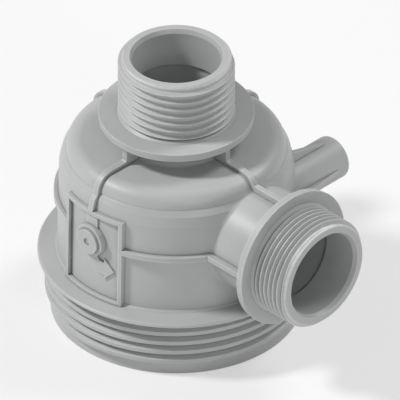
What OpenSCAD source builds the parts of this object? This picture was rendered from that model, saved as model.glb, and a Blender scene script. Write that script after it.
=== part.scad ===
// Head of a suction filter: a moulded bell with a threaded port on top, one on the
// side, two mounting bosses behind and a coarse thread for the ring nut of the bowl.
// Millimetres. The origin is on the body axis, in the plane of the bottom rim.
// The side port points along +X, the panel faces -Y, the mounting bosses face +Y.

/* [Skirt] */
// Outer radius of the skirt that enters the ring nut
skirt_r = 51.35; // [50:0.05:52.5]
// Wall of the skirt
skirt_t = 4; // [3.2:0.1:5]
// Height of the skirt, from the bottom rim to the underside of the base flange
skirt_h = 26.2; // [24:0.1:30]
// Depth of the socket for the rim of the bowl
socket_depth = 22; // [14:0.5:23]

/* [Ring nut thread] */
// Height of the thread ridge above the skirt
nut_thread_h = 2.35; // [1.6:0.05:2.8]
// Pitch of the thread
nut_pitch = 4.54; // [4.4:0.02:5.4]
// Width of the flat crest
nut_crest_w = 1.7; // [1:0.05:2]
// Width of the ridge at its foot
nut_foot_w = 3.9; // [3:0.05:4]
// Height of the crest above the bottom rim where the full thread begins
nut_start_z = 6.8; // [5:0.1:8]
// Direction in which the full thread begins, seen from above
nut_start_angle = -89; // [-180:1:180]
// Angle over which the thread runs in and out
nut_fade = 22; // [10:1:40]
// Room between the end of the thread and the base flange
nut_room = 0.6; // [0.4:0.1:2]
// Flat steps in one turn of the thread
nut_steps = 60; // [36:4:72]

/* [Base flange] */
// Radius of the base flange
base_r = 56.6; // [55.5:0.1:60]
// Thickness of the base flange at its edge
base_edge_t = 1.4; // [1:0.1:2]
// Thickness of the base flange at the wall
base_root_t = 2.35; // [2.1:0.05:4]
// Rounding cut off the upper edge
base_edge_cut = 0.5; // [0.2:0.1:0.8]

/* [Wall and dome] */
// Outer radius of the wall at its foot
wall_r = 48.5; // [47.8:0.1:49.5]
// Draft of the wall, in degrees
wall_draft = 1; // [0:0.1:1.2]
// Thickness of the moulded walls
wall_t = 4; // [3:0.1:4.6]
// Height of the wall above the base flange
wall_h = 41.05; // [40.5:0.05:50]
// Chamfer at the foot of the wall
wall_foot = 1; // [0.4:0.1:1.6]
// Height of the whole shoulder above the wall, up to the rounding of the dome
shoulder_h = 6.9; // [6:0.1:9]
// Height of the crease in the shoulder above the wall
crease_h = 4.4; // [3:0.1:5.2]
// Radius of the crease in the shoulder
crease_r = 46.75; // [46:0.05:47.2]
// Radius of the dome
dome_r = 45; // [43.5:0.1:45.5]
// Chamfer at the foot of the dome
dome_foot = 0.4; // [0.2:0.1:0.6]
// Rounding of the dome's edge
dome_edge_r = 6.4; // [5:0.1:8]
// Length of the seat for the cartridge, inside the dome
seat_len = 8; // [5:0.5:12]
// Wall of that seat
seat_t = 3; // [2:0.1:4]
// Chamfer round the lower end of that seat
seat_chamfer = 1; // [0.5:0.1:1.5]

/* [Ports] */
// Outer radius of the necks
neck_r = 22.45; // [21.8:0.05:24]
// Fillet where the top neck meets the dome
neck_fillet = 1.5; // [0.8:0.1:2.5]
// Fillet where the side neck meets the wall
side_neck_fillet = 1.4; // [0.8:0.1:2]
// Radius of the bore at the mouth of each port
bore_r = 18.18; // [16:0.02:18.6]
// Radius of the bore inside the neck
throat_r = 19.6; // [18.8:0.1:20]
// Radius of the mouth chamfer in the end face
mouth_r = 19.13; // [18.9:0.01:20]
// Depth of the mouth chamfer
mouth_depth = 1.74; // [0.8:0.02:2.5]
// Crest radius of the port threads
port_crest_r = 23.9; // [23.5:0.05:24.5]
// Depth of the port threads
port_thread_d = 1.6; // [1.2:0.05:1.7]
// Width of the flat on each port thread crest
port_crest_w = 0.35; // [0.2:0.05:0.5]
// Outer radius of the end face
port_face_r = 21.95; // [21:0.05:22.2]
// Radius of the collar at the foot of the thread
collar_r = 24.4; // [24:0.1:26]
// Draft of the rims of both flanges, as a difference in radius
flange_draft = 0.3; // [0:0.05:0.5]

/* [Top port] */
// Height of the top neck above the dome
top_neck_h = 8.6; // [6:0.1:14]
// Radius of the top flange
top_flange_r = 31.9; // [30.5:0.1:36]
// Thickness of the top flange
top_flange_t = 3.35; // [2.5:0.05:5]
// Length of the threaded spigot above its flange
top_thread_len = 27.15; // [22:0.05:34]
// Thread pitch of the top port
top_pitch = 3.56; // [3.2:0.02:4.2]
// Distance from the first crest of the top port's thread to the second
top_first_gap = 2.3; // [1.6:0.05:3.6]
// Depth of the straight bore below the end face
top_bore_depth = 17.05; // [10:0.05:20]

/* [Side port] */
// Height of the side port's axis above the bottom rim
side_z = 55.1; // [54.5:0.1:56]
// Distance from the body axis to the back of the side flange
side_flange_x = 64; // [61:0.1:72]
// Radius of the side flange
side_flange_r = 29.65; // [27:0.05:32]
// Thickness of the side flange
side_flange_t = 3.1; // [2.5:0.05:5]
// Length of the threaded spigot beyond its flange
side_thread_len = 18.13; // [16:0.01:26]
// Thread pitch of the side port
side_pitch = 2.42; // [2.3:0.02:3.2]
// Distance from the first crest of the side port's thread to the second
side_first_gap = 2.05; // [1.6:0.05:3.2]
// Depth of the straight bore below the end face
side_bore_depth = 16.9; // [10:0.1:18]

/* [Ribs] */
// Width of the ribs on the dome and the necks
rib_w = 2.36; // [1.6:0.02:3]
// Height of the ribs on the dome
rib_h = 1.65; // [1:0.05:2]
// Height of the ribs, the bead and the panel's frame on the wall
wall_rib_h = 1.95; // [1:0.05:2.4]
// Reach of the ribs under the top flange, from the body axis
rib_web_r = 29.84; // [27:0.02:30.4]
// Rounding at the foot of those ribs
rib_web_fillet = 1.1; // [0.5:0.1:1.6]
// Height of the ribs on the side neck
neck_rib_h = 2.8; // [2:0.1:3.2]
// Width of the bead round the wall at the height of the side port
bead_w = 2.3; // [1.6:0.1:3]

/* [Panel] */
// Outer half width of the framed panel
panel_half_w = 15.8; // [15:0.1:18]
// Width of the panel's frame
panel_frame_w = 1.6; // [1.2:0.1:2.4]
// Height of the frame's lower bar above the foot of the wall
panel_low_h = 1.2; // [0.8:0.1:2]
// Distance from the wall's top edge down to the top of the frame
panel_top_gap = 0.1; // [0.1:0.1:1.5]
// Height of the flow symbol above the wall
symbol_h = 0.8; // [0.4:0.05:1]
// Width of the flow symbol's bar
symbol_w = 6; // [5:0.1:6.6]
// Radius of the bend in the symbol's bar, at its middle
arrow_bend_r = 5.8; // [4:0.1:6]
// Distance from the edge of the gauge boss down to the middle of the arrow
arrow_drop = 4.6; // [3.5:0.1:5]
// Length of the straight bar between its bend and the arrow's head
arrow_neck = 1; // [0.5:0.1:1.5]
// Length of the arrow's head
arrow_head_l = 4.7; // [4:0.1:5]
// Width of the arrow's head
arrow_head_w = 9.8; // [8:0.1:10.4]
// Radius of the gauge boss at its foot
gauge_base_r = 7.1; // [6:0.1:8]
// Distance from the body axis to the step of the gauge boss
gauge_step_y = 50.4; // [50:0.1:51]
// Radius of the gauge boss at its face
gauge_face_r = 5.45; // [4.5:0.05:5.8]
// Distance from the body axis to the face of the gauge boss
gauge_face_y = 51.67; // [51.2:0.01:53]
// Radius of the drill mark in the gauge boss
gauge_mark_r = 1.73; // [1:0.01:2.5]
// Depth of the drill mark
gauge_mark_depth = 0.6; // [0.4:0.1:1]

/* [Mounting bosses] */
// Distance between the two mounting bosses
boss_spacing = 56.6; // [50:0.1:60]
// Diameter of a mounting boss
boss_d = 18.4; // [17:0.1:20]
// Distance from the body axis to the end of the bosses
boss_y = 62.8; // [60:0.1:70]
// Rounding of the end of the bosses
boss_edge_r = 1.5; // [0.8:0.1:2]
// Fillet where a mounting boss meets the wall
boss_fillet = 1; // [0.5:0.1:1.5]
// Thickness of the ribs along the bosses
boss_rib_w = 1.9; // [1.4:0.1:2.4]
// Distance from the end of a boss to the start of its ribs
boss_rib_gap = 6.2; // [4:0.1:9]
// Slope of the upper and lower ribs
boss_rib_slope = 15; // [10:0.5:17]
// Slope of the ribs on the left and right
boss_side_slope = 8; // [5:0.5:9]
// Outer diameter of the brass insert
insert_d = 12; // [11:0.1:13]
// Length of the brass insert
insert_len = 14; // [12:0.1:15]
// Core diameter of the insert's thread
insert_core_d = 6.8; // [6:0.1:8]
// Width of the holding groove round the insert
insert_groove_w = 4; // [2:0.1:6]
// Depth of the holding groove
insert_groove_d = 0.8; // [0.4:0.1:1.2]
// Clearance between an insert and its pocket
insert_clearance = 0.03; // [0.02:0.01:0.06]

/* [Hidden] */
$fn = 96;
plastic = [0.57, 0.575, 0.57];
brass = [0.78, 0.62, 0.32];
past = 1;
lap = 0.2;

// Levels of the body
base_edge_z = skirt_h + base_edge_t;
base_root_z = skirt_h + base_root_t;
wall_top_z = base_root_z + wall_h;
crease_z = wall_top_z + crease_h;
dome_edge_z = wall_top_z + shoulder_h;
dome_top_z = dome_edge_z + dome_edge_r;
dome_flat_r = dome_r - dome_edge_r;
top_flange_z = dome_top_z + top_neck_h;

// Inside of the body
socket_r = skirt_r - skirt_t;
cavity_r = wall_r - wall_t;
in_wall_r = cavity_r + wall_t / 4;
cavity_edge_r = max(dome_edge_r - wall_t, 1);
cavity_top_z = dome_edge_z + cavity_edge_r;
side_reach = side_flange_x - cavity_r / 2;
cavity_shoulder_z = wall_top_z - wall_t / 4;
seat_z = cavity_top_z - seat_len;

// Port threads
port_root_r = port_crest_r - port_thread_d;
port_flank = port_thread_d * tan(30);
port_lead = 1.95;
port_lead_root = 0.8;
port_flare_h = 0.6;
port_land = 0.7;

// Panel
panel_top_z = wall_top_z - panel_top_gap;
field_half_w = panel_half_w - panel_frame_w;
panel_low_z = base_edge_z - base_edge_cut;
field_low_z = base_root_z + panel_low_h;
field_top_z = panel_top_z - panel_frame_w;
arrow_z = side_z - gauge_base_r - arrow_drop;
gauge_mark_tip = 0.2;

// Mounting bosses
boss_r = boss_d / 2;
boss_root = cavity_r / 2;
insert_core_r = insert_core_d / 2;
insert_mouth = 0.7;

// Fillets that follow the round wall, and the ring nut thread
saddle_sunk = 0.8;
saddle_lap = 0.05;
neck_saddle_steps = 72;
boss_saddle_steps = 48;
nut_sunk = 0.4;

// Outer radius of the drafted wall at a height
function wall_at(z) = wall_r - (z - base_root_z) * tan(wall_draft);

// Body of revolution: skirt, base flange, wall, shoulder and dome
module body_outline() {
    polygon([
        [0, 0],
        [skirt_r, 0],
        [skirt_r, skirt_h],
        [base_r, skirt_h],
        [base_r, base_edge_z - base_edge_cut],
        [base_r - base_edge_cut, base_edge_z],
        [wall_r + wall_foot, base_root_z],
        [wall_at(base_root_z + wall_foot), base_root_z + wall_foot],
        [wall_at(wall_top_z), wall_top_z],
        [crease_r, crease_z],
        [dome_r + dome_foot, dome_edge_z - dome_foot],
        [dome_r, dome_edge_z],
        [0, dome_edge_z]
    ]);
    dome_edge(dome_edge_r);
}

// Flat top and rounded edge of the dome, for a given rounding
module dome_edge(r) {
    translate([0, dome_edge_z]) square([dome_flat_r, r]);
    intersection() {
        translate([dome_flat_r, dome_edge_z]) circle(r);
        translate([dome_flat_r, dome_edge_z]) square(r + past);
    }
}

// The same form, raised by the height of the ribs and cut into them later
module rib_outline() {
    polygon([
        [0, panel_low_z],
        [wall_at(panel_low_z) + wall_rib_h, panel_low_z],
        [wall_at(wall_top_z) + wall_rib_h, wall_top_z],
        [crease_r + rib_h, crease_z + dome_foot],
        [dome_r + rib_h, dome_edge_z],
        [0, dome_edge_z]
    ]);
    dome_edge(dome_edge_r + rib_h);
    translate([0, dome_edge_z]) square([rib_web_r, top_flange_z - dome_edge_z + top_flange_t / 2]);
    translate([rib_web_r, dome_top_z + rib_h]) difference() {
        square(rib_web_fillet);
        translate([rib_web_fillet, rib_web_fillet]) circle(rib_web_fillet);
    }
}

// Hollow for the bowl and the cartridge
module cavity_outline() {
    polygon([
        [0, -past],
        [socket_r, -past],
        [socket_r, socket_depth],
        [cavity_r, socket_depth + socket_r - cavity_r],
        [cavity_r, cavity_shoulder_z],
        [dome_flat_r + cavity_edge_r, cavity_shoulder_z + shoulder_h],
        [dome_flat_r + cavity_edge_r, dome_edge_z],
        [0, dome_edge_z]
    ]);
    dome_edge(cavity_edge_r);
}

// Collar under the top port that the cartridge seals on
module seat_outline() {
    polygon([
        [0, seat_z],
        [throat_r + seat_t - seat_chamfer, seat_z],
        [throat_r + seat_t, seat_z + seat_chamfer],
        [throat_r + seat_t, cavity_top_z + past],
        [0, cavity_top_z + past]
    ]);
}

// Outside of a threaded spigot, from its flange to its end face
function groove(a, b) = let (
        mid = (a + b) / 2,
        root = max((b - a - port_crest_w) / 2 - port_flank, 0.02)
    ) [
        [port_crest_r, a + port_crest_w / 2],
        [port_root_r, mid - root],
        [port_root_r, mid + root],
        [port_crest_r, b - port_crest_w / 2]
    ];

// Crests counted from the end face down to the land above the flange
function crests(len, pitch, first_gap) = let (
        second = port_lead + first_gap,
        count = floor((len - port_flare_h - port_land - second) / pitch)
    ) [for (i = [0 : count]) second + i * pitch];

module spigot_outline(len, pitch, first_gap) {
    depths = concat([port_lead], crests(len, pitch, first_gap));
    last = len(depths) - 1;
    grooves = [for (i = [last : -1 : 1]) each groove(len - depths[i], len - depths[i - 1])];
    polygon(concat(
        [[0, -past], [collar_r, -past], [collar_r, 0], [port_crest_r, port_flare_h]],
        grooves,
        [
            [port_crest_r, len - port_lead],
            [port_root_r, len - port_lead_root],
            [port_face_r, len],
            [0, len]
        ]
    ));
}

// One port: neck, flange and threaded spigot, standing on the end of its neck
module port(neck_len, flange_r, flange_t, thread_len, pitch, first_gap) {
    translate([0, 0, -neck_len]) cylinder(r = neck_r, h = neck_len + flange_t / 2);
    cylinder(r1 = flange_r - flange_draft, r2 = flange_r, h = flange_t);
    translate([0, 0, flange_t]) rotate_extrude() spigot_outline(thread_len, pitch, first_gap);
}

// Bore of one port, from the mouth down into the hollow
module port_bore(reach, flange_t, thread_len, bore_depth) {
    end_z = flange_t + thread_len;
    step = throat_r - bore_r;
    rotate_extrude() polygon([
        [0, -reach],
        [throat_r, -reach],
        [throat_r, end_z - bore_depth - step],
        [bore_r, end_z - bore_depth],
        [bore_r, end_z - mouth_depth],
        [mouth_r, end_z],
        [mouth_r, end_z + past],
        [0, end_z + past]
    ]);
}

// Puts a child on the end of the side neck, looking along +X
module at_side_port() {
    translate([side_flange_x, 0, side_z]) rotate([0, 90, 0]) children();
}

// Two crossed plates, as thick as a rib
module crossed_plates(size, low, height) {
    translate([-size, -rib_w / 2, low]) cube([2 * size, rib_w, height]);
    translate([-rib_w / 2, -size, low]) cube([rib_w, 2 * size, height]);
}

// Four ribs that run over the dome and down the wall, the bead at the height of the
// side port and the panel's frame, all cut from the same raised form
module raised_forms() {
    intersection() {
        rotate_extrude() rib_outline();
        union() {
            crossed_plates(base_r, 0, top_flange_z + top_flange_t);
            translate([0, 0, side_z - bead_w / 2]) cylinder(r = base_r, h = bead_w);
            translate([-panel_half_w, -base_r, 0]) cube([2 * panel_half_w, base_r, panel_top_z]);
        }
    }
}

// Window in the panel's frame, which leaves the wall bare
module panel_window() {
    translate([-field_half_w, -base_r, field_low_z])
        cube([2 * field_half_w, base_r - cavity_r / 2, field_top_z - field_low_z]);
}

// Four ribs along the side neck
module side_neck_ribs() {
    at_side_port() intersection() {
        translate([0, 0, -side_reach]) cylinder(r = neck_r + neck_rib_h, h = side_reach + side_flange_t / 2);
        crossed_plates(side_flange_r, -side_reach, side_reach + side_flange_t / 2);
    }
}

// Radius of the body at a height, for what meets its round side
function body_r(z) = lookup(z, [
    [base_root_z, wall_r],
    [wall_top_z, wall_at(wall_top_z)],
    [crease_z, crease_r],
    [dome_edge_z - dome_foot, dome_r + dome_foot],
    [dome_edge_z, dome_r],
    for (a = [15 : 15 : 75]) [dome_edge_z + dome_edge_r * sin(a), dome_flat_r + dome_edge_r * cos(a)]
]);

// Ring of a fillet round a pipe that leaves the body sideways, at an offset from the body axis
function saddle_ring(turn, pipe_r, fillet, offset) = let (
        profile = concat(
            [[-saddle_sunk, -saddle_sunk], [-saddle_lap, fillet]],
            [for (a = [210 : 30 : 240]) [fillet * (1 + cos(a)), fillet * (1 + sin(a))]],
            [[fillet, -saddle_lap]])
    ) [
        for (p = profile) let (
            across = (pipe_r + p[0]) * cos(turn),
            z = side_z + (pipe_r + p[0]) * sin(turn),
            wall_x = sqrt(pow(body_r(z), 2) - pow(offset + across, 2))
        ) [wall_x + p[1], offset + across, z]
    ];

// Fillet where a pipe along +X leaves the round wall of the body
module saddle_fillet(pipe_r, fillet, offset, steps) {
    count = 5;
    points = [for (i = [0 : steps - 1]) each saddle_ring(360 * i / steps, pipe_r, fillet, offset)];
    faces = [
        for (i = [0 : steps - 1], k = [0 : count - 1]) let (
            a = count * i + k,
            b = count * i + (k + 1) % count,
            c = (a + count) % (count * steps),
            d = (b + count) % (count * steps)
        ) each [[a, d, b], [a, c, d]]
    ];
    polyhedron(points, faces);
}

// Concave fillet at the foot of the top neck
module neck_foot() {
    translate([0, 0, dome_top_z]) rotate_extrude() difference() {
        translate([neck_r - past, -past]) square([neck_fillet + past, neck_fillet + past]);
        translate([neck_r + neck_fillet, neck_fillet]) circle(neck_fillet);
    }
}

// Flow symbol: a bar from the top of the panel, bent to the right into an arrow
module arrow_outline() {
    bend_x = arrow_bend_r;
    bend_z = arrow_z + arrow_bend_r;
    head_x = bend_x + arrow_neck;
    translate([-symbol_w / 2, bend_z]) square([symbol_w, field_top_z - bend_z + lap]);
    intersection() {
        translate([bend_x, bend_z]) difference() {
            circle(arrow_bend_r + symbol_w / 2);
            circle(arrow_bend_r - symbol_w / 2);
        }
        translate([bend_x - 2 * symbol_w, bend_z - 2 * symbol_w]) square(2 * symbol_w);
    }
    translate([bend_x, arrow_z - symbol_w / 2]) square([head_x - bend_x, symbol_w]);
    translate([head_x, arrow_z]) polygon([
        [0, -arrow_head_w / 2],
        [arrow_head_l, 0],
        [0, arrow_head_w / 2]
    ]);
}

module flow_symbol() {
    low_r = wall_at(field_low_z) + symbol_h;
    top_r = wall_at(panel_top_z) + symbol_h;
    intersection() {
        rotate([90, 0, 0]) linear_extrude(base_r) arrow_outline();
        difference() {
            translate([0, 0, field_low_z]) cylinder(r1 = low_r, r2 = top_r, h = panel_top_z - field_low_z);
            translate([0, 0, field_low_z - past]) cylinder(r = in_wall_r, h = dome_top_z);
        }
    }
}

// Stepped round boss in the middle of the panel, with a drill mark
module gauge_boss() {
    rotate([90, 0, 0]) translate([0, side_z, 0]) rotate_extrude() polygon([
        [0, in_wall_r],
        [gauge_base_r, in_wall_r],
        [gauge_base_r, gauge_step_y],
        [gauge_face_r, gauge_step_y],
        [gauge_face_r, gauge_face_y],
        [gauge_mark_r, gauge_face_y],
        [gauge_mark_r, gauge_face_y - gauge_mark_depth],
        [0, gauge_face_y - gauge_mark_depth - gauge_mark_tip]
    ]);
}

// Puts a child on the axis of a mounting boss, looking along +Y from the body axis
module at_boss(side) {
    translate([side * boss_spacing / 2, 0, side_z]) rotate([-90, 0, 0]) children();
}

module mounting_boss() {
    rotate_extrude() difference() {
        translate([0, boss_root]) square([boss_r, boss_y - boss_root]);
        translate([boss_r - boss_edge_r, boss_y - boss_edge_r]) difference() {
            square(boss_edge_r + past);
            circle(boss_edge_r);
        }
    }
    for (turn = [0, 180]) rotate([0, 0, turn]) boss_rib(boss_side_slope);
    for (turn = [90, 270]) rotate([0, 0, turn]) boss_rib(boss_rib_slope);
}

// Tapered rib along a boss, highest at the wall
module boss_rib(slope) {
    tip = boss_y - boss_rib_gap;
    translate([0, boss_rib_w / 2, 0]) rotate([90, 0, 0]) linear_extrude(boss_rib_w) polygon([
        [0, boss_root],
        [boss_r + (tip - boss_root) * tan(slope), boss_root],
        [boss_r, tip],
        [0, tip]
    ]);
}

// Brass insert, from its inner end to its mouth, and the pocket that it sits in
module insert_outline(spare) {
    r = insert_d / 2 + spare;
    low = boss_y - insert_len - spare;
    groove_low = boss_y - insert_len / 2 - insert_groove_w / 2 + spare;
    polygon([
        [0, low],
        [r, low],
        [r, groove_low],
        [r - insert_groove_d, groove_low],
        [r - insert_groove_d, groove_low + insert_groove_w - 2 * spare],
        [r, groove_low + insert_groove_w - 2 * spare],
        [r, boss_y],
        [0, boss_y]
    ]);
}

module mounting_insert(side) {
    color(brass) at_boss(side) rotate_extrude() difference() {
        insert_outline(0);
        polygon([
            [0, boss_y - insert_len - past],
            [insert_core_r, boss_y - insert_len - past],
            [insert_core_r, boss_y - insert_mouth],
            [insert_core_r + insert_mouth, boss_y],
            [insert_core_r + insert_mouth, boss_y + past],
            [0, boss_y + past]
        ]);
    }
}

module insert_pocket() {
    rotate_extrude() {
        insert_outline(insert_clearance);
        translate([0, boss_y - past]) square([insert_d / 2 + insert_clearance, 2 * past]);
    }
}

// Coarse right-hand thread for the ring nut, as one swept ridge with run-in and run-out
function nut_section(angle, share) = let (
        slope = (nut_foot_w - nut_crest_w) / 2 / nut_thread_h,
        z = nut_start_z + nut_pitch * (angle - nut_start_angle) / 360,
        foot = skirt_r - nut_sunk,
        top = skirt_r - nut_sunk / 2 + share * (nut_thread_h + nut_sunk / 2),
        half_foot = nut_foot_w / 2 + nut_sunk * slope,
        half_top = half_foot - (top - foot) * slope
    ) [
        for (p = [[foot, -half_foot], [top, -half_top], [top, half_top], [foot, half_foot]])
            [p[0] * cos(angle), p[0] * sin(angle), z + p[1]]
    ];

module nut_thread() {
    room = skirt_h - nut_start_z - nut_foot_w / 2 - nut_room;
    full = floor(room / nut_pitch * nut_steps);
    fade = ceil(nut_fade * nut_steps / 360);
    step = 360 / nut_steps;
    last = full + 2 * fade;
    points = [
        for (i = [0 : last])
            each nut_section(nut_start_angle + (i - fade) * step, min(i, last - i, fade) / fade)
    ];
    sides = [
        for (i = [0 : last - 1], k = [0 : 3])
            let (a = 4 * i + k, b = 4 * i + (k + 1) % 4)
                each [[a, b, b + 4], [a, b + 4, a + 4]]
    ];
    ends = [[3, 2, 1], [3, 1, 0], [4 * last, 4 * last + 1, 4 * last + 2], [4 * last, 4 * last + 2, 4 * last + 3]];
    polyhedron(points, concat(sides, ends));
}

module housing() {
    color(plastic) difference() {
        union() {
            rotate_extrude() body_outline();
            difference() {
                raised_forms();
                panel_window();
            }
            flow_symbol();
            gauge_boss();
            neck_foot();
            translate([0, 0, top_flange_z]) port(
                top_neck_h + wall_t / 2, top_flange_r, top_flange_t, top_thread_len, top_pitch, top_first_gap);
            at_side_port() port(
                side_reach, side_flange_r, side_flange_t, side_thread_len, side_pitch, side_first_gap);
            side_neck_ribs();
            saddle_fillet(neck_r, side_neck_fillet, 0, neck_saddle_steps);
            for (side = [-1, 1]) at_boss(side) mounting_boss();
            for (side = [-1, 1]) rotate([0, 0, 90])
                saddle_fillet(boss_r, boss_fillet, side * boss_spacing / 2, boss_saddle_steps);
            nut_thread();
        }
        rotate_extrude() difference() {
            cavity_outline();
            seat_outline();
        }
        translate([0, 0, top_flange_z])
            port_bore(top_flange_z - seat_z + past, top_flange_t, top_thread_len, top_bore_depth);
        at_side_port()
            port_bore(side_reach, side_flange_t, side_thread_len, side_bore_depth);
        for (side = [-1, 1]) at_boss(side) insert_pocket();
    }
}

module left_mounting_insert() {
    mounting_insert(-1);
}

module right_mounting_insert() {
    mounting_insert(1);
}

housing();
left_mounting_insert();
right_mounting_insert();
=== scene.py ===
import math

import bmesh
import bpy
from mathutils import Matrix, Vector


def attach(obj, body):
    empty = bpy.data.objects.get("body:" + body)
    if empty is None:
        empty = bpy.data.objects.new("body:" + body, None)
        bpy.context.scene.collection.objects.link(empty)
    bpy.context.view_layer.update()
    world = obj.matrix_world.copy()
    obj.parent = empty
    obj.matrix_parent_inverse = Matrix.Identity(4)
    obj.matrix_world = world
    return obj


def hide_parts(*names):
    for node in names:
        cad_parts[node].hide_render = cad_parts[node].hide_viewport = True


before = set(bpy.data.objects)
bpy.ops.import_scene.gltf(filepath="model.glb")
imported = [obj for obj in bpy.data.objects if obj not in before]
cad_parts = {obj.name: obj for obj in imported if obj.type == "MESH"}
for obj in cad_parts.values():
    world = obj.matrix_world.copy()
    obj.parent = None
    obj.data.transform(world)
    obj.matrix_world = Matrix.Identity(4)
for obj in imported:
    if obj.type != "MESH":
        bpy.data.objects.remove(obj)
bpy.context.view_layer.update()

mm = 0.001
scene = bpy.context.scene
scene.view_settings.view_transform = "Standard"
print("frame loaded:", sorted(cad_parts))


# small helpers for node trees
def addNode(tree, kind, settings=None, inputs=None):
    node = tree.nodes.new(kind)
    for name, value in (settings or {}).items():
        setattr(node, name, value)
    for name, value in (inputs or {}).items():
        socket = node.inputs[name]
        if isinstance(value, Wire):
            tree.links.new(value.socket, socket)
        else:
            socket.default_value = value
    return node


class Wire:
    # one socket of a tree; the operators add Math nodes
    def __init__(self, tree, socket):
        self.tree = tree
        self.socket = socket

    def maths(self, operation, first, second):
        node = addNode(self.tree, "ShaderNodeMath", {"operation": operation},
                       {0: first, 1: second})
        return Wire(self.tree, node.outputs[0])

    def __add__(self, other):
        return self.maths("ADD", self, other)

    def __sub__(self, other):
        return self.maths("SUBTRACT", self, other)

    def __rsub__(self, other):
        return self.maths("SUBTRACT", other, self)

    def __mul__(self, other):
        return self.maths("MULTIPLY", self, other)

    __radd__ = __add__
    __rmul__ = __mul__

    def __truediv__(self, other):
        return self.maths("DIVIDE", self, other)

    def atMost(self, other):
        return self.maths("MINIMUM", self, other)

    def clamp(self):
        node = addNode(self.tree, "ShaderNodeClamp", None, {0: self})
        return Wire(self.tree, node.outputs[0])


class Finish:
    # a material and its tree
    def __init__(self, name):
        self.material = bpy.data.materials.new(name)
        self.material.use_nodes = True
        self.tree = self.material.node_tree
        self.tree.nodes.clear()
        self.output = addNode(self.tree, "ShaderNodeOutputMaterial")
        self.coords = Wire(self.tree, addNode(self.tree, "ShaderNodeTexCoord").outputs["Object"])

    def out(self, kind, settings=None, inputs=None, name=0):
        return Wire(self.tree, addNode(self.tree, kind, settings, inputs).outputs[name])

    def noise(self, scale, detail, rough):
        return self.out("ShaderNodeTexNoise", None, {
            "Vector": self.coords, "Scale": scale, "Detail": detail, "Roughness": rough})

    def mix(self, factor, low, high):
        sockets = {0: factor, 6: low, 7: high}
        return self.out("ShaderNodeMix", {"data_type": "RGBA"}, sockets, 2)

    def closeness(self, reach, inside):
        # 1 on open faces, less near a corner, or with inside near an outer edge
        settings = {"samples": 8, "only_local": True, "inside": inside}
        return self.out("ShaderNodeAmbientOcclusion", settings, {"Distance": reach * mm}, "AO")

    def rounded(self, radius, samples):
        return self.out("ShaderNodeBevel", {"samples": samples}, {"Radius": radius * mm})

    def surface(self, inputs):
        shader = self.out("ShaderNodeBsdfPrincipled", None, inputs)
        self.tree.links.new(shader.socket, self.output.inputs["Surface"])
        return shader

    def lift(self, shader, share):
        # camera, mirrors and glass see the surface part white; its diffuse light stays the same
        path = addNode(self.tree, "ShaderNodeLightPath").outputs
        camera, mirror, glass = [Wire(self.tree, path[name]) for name in (
            "Is Camera Ray", "Is Glossy Ray", "Is Transmission Ray")]
        white = self.out("ShaderNodeEmission", None, {"Color": (1, 1, 1, 1), "Strength": 1.0})
        pale = self.out("ShaderNodeMixShader", None, {
            0: (camera + mirror + glass).clamp() * share, 1: shader, 2: white})
        self.tree.links.new(pale.socket, self.output.inputs["Surface"])


# finishes
noiseMean = 0.5

plasticLook = {
    "tint": (0.51, 0.52, 0.515, 1),
    "shade": (0.455, 0.465, 0.465, 1),
    # colour of the painted shade that darkens the corners and recesses
    "cornerShadeTint": (0.19, 0.185, 0.175, 1),
    # paler colour of the outer edges: partly wear, partly a painted highlight
    "wornHighlight": (0.74, 0.75, 0.745, 1),
    "clouds": (22.0, 4.0, 0.55),        # slow clouding of the moulding: scale, detail, roughness
    "peel": (420.0, 2.0, 0.5),          # faint orange peel
    "grain": (2600.0, 2.0, 0.6),        # fine texture of the mould
    "cloudStart": 0.35, "cloudGain": 2.2,
    "corner": 0.9,          # reach of the painted shade in the corners, mm
    "cornerGain": 1.9, "cornerLeast": 0.5, "cornerClouds": 0.5,
    "rubHighlight": 0.5,             # reach of the paler edges, partly rubbing wear and partly a painted highlight, mm
    "rubHighlightGain": 1.7, "rubHighlightLeast": 0.3, "rubHighlightPeel": 0.8,
    "roughness": 0.42,
    "cloudRoughness": 0.12, "grainRoughness": 0.1,
    "depth": 0.05,          # depth of the texture, mm
    "grainDepth": 0.7, "peelDepth": 0.9,        # and its shares
    "edge": 0.2,            # rounding seen on the edges, mm
}


def makePlastic(look):
    finish = Finish("moulded_plastic")
    clouds = finish.noise(*look["clouds"])
    grain = finish.noise(*look["grain"])
    peel = finish.noise(*look["peel"])
    tone = ((clouds - look["cloudStart"]) * look["cloudGain"]).clamp()
    colour = finish.mix(tone, look["shade"], look["tint"])
    # paler outer edges: partly rubbing wear, partly a painted highlight that outlines them
    rubbedHighlight = ((1 - finish.closeness(look["rubHighlight"], True)) * look["rubHighlightGain"]).clamp()
    rubbedHighlight = rubbedHighlight * (look["rubHighlightPeel"] * peel + look["rubHighlightLeast"])
    colour = finish.mix(rubbedHighlight, colour, look["wornHighlight"])
    # painted shade: the colour darkens in corners and recesses, where shade falls
    cornerShade = ((1 - finish.closeness(look["corner"], False)) * look["cornerGain"]).clamp()
    cornerShade = cornerShade * (look["cornerClouds"] * clouds + look["cornerLeast"])
    colour = finish.mix(cornerShade, colour, look["cornerShadeTint"])
    texture = look["grainDepth"] * grain + look["peelDepth"] * peel
    bump = finish.out("ShaderNodeBump", None, {
        "Strength": 0.5, "Distance": look["depth"] * mm, "Height": texture,
        "Normal": finish.rounded(look["edge"], 6)})
    uneven = look["cloudRoughness"] * (clouds - noiseMean)
    uneven = uneven + look["grainRoughness"] * (grain - noiseMean)
    finish.surface({
        "Base Color": colour,
        "Roughness": look["roughness"] + uneven,
        "IOR": 1.48,
        "Specular IOR Level": 0.42,
        "Normal": bump,
    })
    return finish.material


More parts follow.
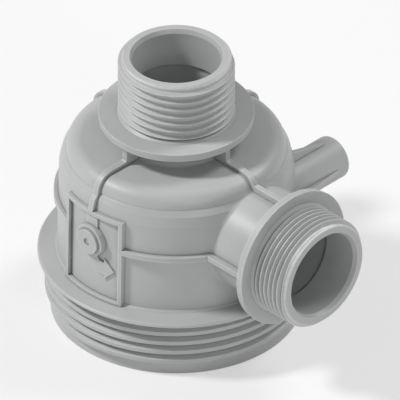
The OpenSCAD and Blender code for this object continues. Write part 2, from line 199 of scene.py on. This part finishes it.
brassLook = {
    "bright": (0.80, 0.62, 0.30, 1),
    "dull": (0.58, 0.42, 0.19, 1),
    "patina": (260.0, 4.0, 0.6),        # scale, detail, roughness
    "fine": (3000.0, 2.0, 0.5),
    "patinaStart": 0.4, "patinaGain": 2.5,
    "roughness": 0.3, "patinaRoughness": 0.18,
    "depth": 0.02,          # depth of the turning marks, mm
    "edge": 0.2,            # rounding seen on the edges, mm
}


def makeBrass(look):
    finish = Finish("turned_brass")
    patina = finish.noise(*look["patina"])
    fine = finish.noise(*look["fine"])
    tone = ((patina - look["patinaStart"]) * look["patinaGain"]).clamp()
    colour = finish.mix(tone, look["bright"], look["dull"])
    bump = finish.out("ShaderNodeBump", None, {
        "Strength": 0.3, "Distance": look["depth"] * mm, "Height": fine,
        "Normal": finish.rounded(look["edge"], 4)})
    finish.surface({
        "Base Color": colour,
        "Metallic": 1.0,
        "Roughness": look["roughness"] + patina * look["patinaRoughness"],
        "Normal": bump,
    })
    return finish.material


plastic = makePlastic(plasticLook)
brass = makeBrass(brassLook)
print("finishes made")


# port threads: one helical ridge each, swept by Geometry Nodes
topThread = {
    "centre": (0, 0, 0), "lie": 0,      # foot of the port's axis, mm, and its turn from upright
    "end": 122.0,                       # end face, mm along the axis
    "start": 27.03, "angle": 165,       # where the ridge leaves the collar: depth and direction
    "collar": 25.6,                     # depth of the collar's edge
    "pitch": 3.555,
    "crest": 23.9, "root": 22.3,        # radii
    "crestWidth": 0.34, "footWidth": 2.5,
}
sideThread = {
    "centre": (0, 0, 55.1), "lie": 90,
    "end": 85.23,
    "start": 17.09, "angle": 75,
    "collar": 16.2,
    "pitch": 2.42,
    "crest": 23.9, "root": 22.3,
    "crestWidth": 0.3, "footWidth": 2.1,
}
leadIn = ((0.0, 21.9), (0.8, 22.2), (1.95, 23.9))       # chamfer of both ends: depth, radius, mm
ridgeRun = {
    "fade": 0.3,            # turns over which the ridge grows
    "sink": 0.3,            # depth of its foot in the root, mm
    "past": 0.6,            # it runs on past the end face and is trimmed to the chamfer, mm
    "inset": 0.3,           # and stops this far below the end face, mm
}


def ridgeTree():
    # a helix about Z with a trapezoid section that fades in
    tree = bpy.data.node_groups.new("helical_ridge", "GeometryNodeTree")
    sizes = ("Turns", "Pitch", "Root", "Height", "Crest", "Foot", "Fade", "Sink")
    for name in sizes:
        tree.interface.new_socket(name=name, in_out="INPUT", socket_type="NodeSocketFloat")
    tree.interface.new_socket(name="Finish", in_out="INPUT", socket_type="NodeSocketMaterial")
    tree.interface.new_socket(name="Geometry", in_out="OUTPUT", socket_type="NodeSocketGeometry")
    entry = addNode(tree, "NodeGroupInput")
    size = {name: Wire(tree, entry.outputs[name]) for name in sizes}
    spiral = addNode(tree, "GeometryNodeCurveSpiral", None, {
        "Resolution": 96, "Rotations": size["Turns"], "Height": size["Turns"] * size["Pitch"],
        "Start Radius": size["Root"], "End Radius": size["Root"], "Reverse": False})
    upright = addNode(tree, "GeometryNodeSetCurveNormal", {"mode": "Z_UP"},
                      {"Curve": Wire(tree, spiral.outputs[0])})
    along = Wire(tree, addNode(tree, "GeometryNodeSplineParameter").outputs["Factor"])
    grow = (along * size["Turns"] / size["Fade"]).atMost(1.0)

    def point(across, up):
        node = addNode(tree, "ShaderNodeCombineXYZ", None, {"X": across, "Y": up})
        return Wire(tree, node.outputs[0])

    foot = size["Foot"] * 0.5
    crest = size["Crest"] * 0.5
    outward = 0 - size["Height"]
    section = addNode(tree, "GeometryNodeCurvePrimitiveQuadrilateral", {"mode": "POINTS"}, {
        "Point 1": point(size["Sink"], foot), "Point 2": point(outward, crest),
        "Point 3": point(outward, 0 - crest), "Point 4": point(size["Sink"], 0 - foot)})
    sweep = addNode(tree, "GeometryNodeCurveToMesh", None, {
        "Curve": Wire(tree, upright.outputs[0]), "Profile Curve": Wire(tree, section.outputs[0]),
        "Scale": grow, "Fill Caps": True})
    plain = addNode(tree, "GeometryNodeRealizeInstances", None,
                    {"Geometry": Wire(tree, sweep.outputs[0])})
    finished = addNode(tree, "GeometryNodeSetMaterial", None, {
        "Geometry": Wire(tree, plain.outputs[0]), "Material": Wire(tree, entry.outputs["Finish"])})
    leave = addNode(tree, "NodeGroupOutput")
    tree.links.new(finished.outputs[0], leave.inputs["Geometry"])
    return tree


def sweptRidge(name, tree, values):
    maker = bpy.data.objects.new(name, bpy.data.meshes.new(name))
    scene.collection.objects.link(maker)
    sweep = maker.modifiers.new("sweep", "NODES")
    sweep.node_group = tree
    for item in tree.interface.items_tree:
        if item.in_out == "INPUT":
            sweep[item.identifier] = values[item.name]
    ready = maker.evaluated_get(bpy.context.evaluated_depsgraph_get())
    mesh = bpy.data.meshes.new_from_object(ready)
    bpy.data.objects.remove(maker)
    return mesh


def portMatrix(port):
    lie = Matrix.Rotation(math.radians(port["lie"]), 4, "Y")
    return Matrix.Translation(Vector(port["centre"]) * mm) @ lie


def leadRadius(depth):
    # largest radius that the chamfered end leaves at a depth, mm
    for (low, small), (high, large) in zip(leadIn, leadIn[1:]):
        if depth < high:
            return small + (large - small) * max(depth - low, 0) / (high - low)
    return leadIn[-1][1]


meshCare = {
    "merge": 0.002,         # points nearer than this become one, mm
    "speck": 3.0,           # closed shells smaller than this are left out, mm across
}


def cleanMesh(mesh):
    form = bmesh.new()
    form.from_mesh(mesh)
    bmesh.ops.remove_doubles(form, verts=form.verts, dist=meshCare["merge"] * mm)
    waiting = set(form.verts)
    specks = []
    while waiting:
        shell = [waiting.pop()]
        for vertex in shell:
            near = {edge.other_vert(vertex) for edge in vertex.link_edges} & waiting
            waiting -= near
            shell.extend(near)
        if max((vertex.co - shell[0].co).length for vertex in shell) < meshCare["speck"] * mm:
            specks += shell
    bmesh.ops.delete(form, geom=specks, context="VERTS")
    form.to_mesh(mesh)
    form.free()


def portRidge(name, tree, port):
    mesh = sweptRidge(name, tree, {
        "Turns": (port["start"] + ridgeRun["past"]) / port["pitch"], "Pitch": port["pitch"] * mm,
        "Root": port["root"] * mm, "Height": (port["crest"] - port["root"]) * mm,
        "Crest": port["crestWidth"] * mm, "Foot": port["footWidth"] * mm,
        "Fade": ridgeRun["fade"], "Sink": ridgeRun["sink"] * mm, "Finish": plastic})
    mesh.transform(Matrix.Rotation(math.radians(port["angle"]), 4, "Z"))
    for vertex in mesh.vertices:
        depth = port["start"] - vertex.co.z / mm
        reach = math.hypot(vertex.co.x, vertex.co.y)
        limit = leadRadius(depth) * mm
        if reach > limit:
            vertex.co.x *= limit / reach
            vertex.co.y *= limit / reach
        vertex.co.z = (port["end"] - max(depth, ridgeRun["inset"])) * mm
    mesh.transform(portMatrix(port))
    cleanMesh(mesh)
    return mesh


# housing: a merged copy of the CAD node, its thread rings cut down to the root
housingLook = {
    "crease": 22.0,         # edges with a larger turn than this stay sharp, degrees
    "rings": (69.6, 74.0, 74.4, 76.1, 76.5),    # heights of the shoulder's edges, mm
    "ringCrease": 8.0,      # those edges stay sharp from this turn on
    "ringSlack": 0.02,      # and are looked for this near to those heights, mm
}
threadCut = {"below": 0.85, "inside": 0.2, "outside": 0.1}      # room round the thread rings, mm


def cutRings(mesh, port):
    # vertices of the rings drop to the root; the ridge then stands on a plain cylinder
    back = portMatrix(port)
    inward = back.inverted()
    low = (port["end"] - port["collar"]) * mm
    high = (port["end"] - threadCut["below"]) * mm
    inner = (port["root"] - threadCut["inside"]) * mm
    outer = (port["crest"] + threadCut["outside"]) * mm
    for vertex in mesh.vertices:
        place = inward @ vertex.co
        reach = math.hypot(place.x, place.y)
        if low < place.z < high and inner < reach < outer:
            place.x *= port["root"] * mm / reach
            place.y *= port["root"] * mm / reach
            vertex.co = back @ place


def turnLimit(edge, look):
    # a shallow edge stays sharp where it runs round the shoulder
    for height in look.get("rings", ()):
        if all(abs(vertex.co.z / mm - height) < look["ringSlack"] for vertex in edge.verts):
            return look["ringCrease"]
    return look["crease"]


def dressed(node, name, finish, look, extra=(), ports=()):
    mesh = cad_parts[node].data.copy()
    cleanMesh(mesh)
    for port in ports:
        cutRings(mesh, port)
    form = bmesh.new()
    form.from_mesh(mesh)
    for more in extra:
        form.from_mesh(more)
    for face in form.faces:
        face.smooth = True
        face.material_index = 0
    for edge in form.edges:
        turn = math.degrees(edge.calc_face_angle(0))
        edge.smooth = len(edge.link_faces) == 2 and turn < turnLimit(edge, look)
    form.to_mesh(mesh)
    form.free()
    mesh.materials.clear()
    mesh.materials.append(finish)
    piece = bpy.data.objects.new(name, mesh)
    scene.collection.objects.link(piece)
    weigh = piece.modifiers.new("weigh", "WEIGHTED_NORMAL")
    weigh.keep_sharp = True
    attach(piece, "root")
    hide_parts(node)
    print(name, len(mesh.polygons), "faces")
    return piece


ridge = ridgeTree()
ridges = [portRidge("top_ridge", ridge, topThread), portRidge("side_ridge", ridge, sideThread)]
housing = dressed("housing", "dressed_housing", plastic, housingLook,
                  ridges, (topThread, sideThread))

insertLook = {"crease": 25.0}

for side in ("left", "right"):
    insert = dressed(side + "_mounting_insert", side + "_insert", brass, insertLook)


# studio
studio = {
    "floor": (0.86, 0.86, 0.86, 1),
    "floorCloud": (0.88, 0.88, 0.88, 1),
    "clouds": (3.0, 3.0, 0.5),
    "cloudShare": 0.1,
    "lift": 0.5,            # share of plain white that the eye sees on the floor
    "drop": 0.1,            # from the rim down to the floor, so that no faces coincide, mm
    "across": 6,            # width of the floor, metres
    "world": 0.26,
    "lamps": [
        # place, aim, size, watts (metres)
        ((-1.05, -1.20, 1.80), (0, 0, 0.05), 0.40, 39.0),
        ((1.90, -0.80, 1.00), (0.02, 0, 0.05), 0.70, 6.5),
        ((0.50, 1.50, 1.90), (0, 0, 0.06), 0.90, 20.0),
    ],
}

bpy.ops.mesh.primitive_plane_add(size=studio["across"])
floor = bpy.context.object
floor.name = "floor"
floor.location.z = -studio["drop"] * mm
floorFinish = Finish("pale_floor")
cloudy = floorFinish.noise(*studio["clouds"]) * studio["cloudShare"]
paint = floorFinish.mix(cloudy, studio["floor"], studio["floorCloud"])
matt = floorFinish.surface({"Base Color": paint, "Roughness": 0.85, "Specular IOR Level": 0.1})
floorFinish.lift(matt, studio["lift"])
floor.data.materials.append(floorFinish.material)

for number, (place, aim, size, watts) in enumerate(studio["lamps"]):
    data = bpy.data.lights.new("lamp_%d" % number, "AREA")
    data.shape = "DISK"
    data.size = size
    data.energy = watts
    lamp = bpy.data.objects.new(data.name, data)
    lamp.location = place
    lamp.rotation_euler = (Vector(place) - Vector(aim)).to_track_quat("Z", "Y").to_euler()
    scene.collection.objects.link(lamp)

world = bpy.data.worlds.new("studio")
world.use_nodes = True
scene.world = world
background = world.node_tree.nodes["Background"]
background.inputs["Color"].default_value = (1, 1, 1, 1)
background.inputs["Strength"].default_value = studio["world"]


# camera: isometric, along (-1, 1, -1)
cameraSetup = {
    "across": 9.638,        # image centre from the origin, mm along the picture's right
    "up": 40.94,            # and along the picture's up
    "width": 162.87,        # width of the picture, mm
    "away": 600.0,          # from the middle of the part, mm
    "middle": (14, 3, 61),
}
toCamera = Vector((1, -1, 1)).normalized()
right = Vector((1, 1, 0)).normalized()
upward = toCamera.cross(right)
aim = right * cameraSetup["across"] + upward * cameraSetup["up"]
aim += toCamera * (Vector(cameraSetup["middle"]) - aim).dot(toCamera)
cameraData = bpy.data.cameras.new("camera")
cameraData.type = "ORTHO"
cameraData.ortho_scale = cameraSetup["width"] * mm
camera = bpy.data.objects.new("camera", cameraData)
camera.location = (aim + toCamera * cameraSetup["away"]) * mm
camera.rotation_euler = toCamera.to_track_quat("Z", "Y").to_euler()
scene.collection.objects.link(camera)
scene.camera = camera
print("camera at", [round(x, 4) for x in camera.location])
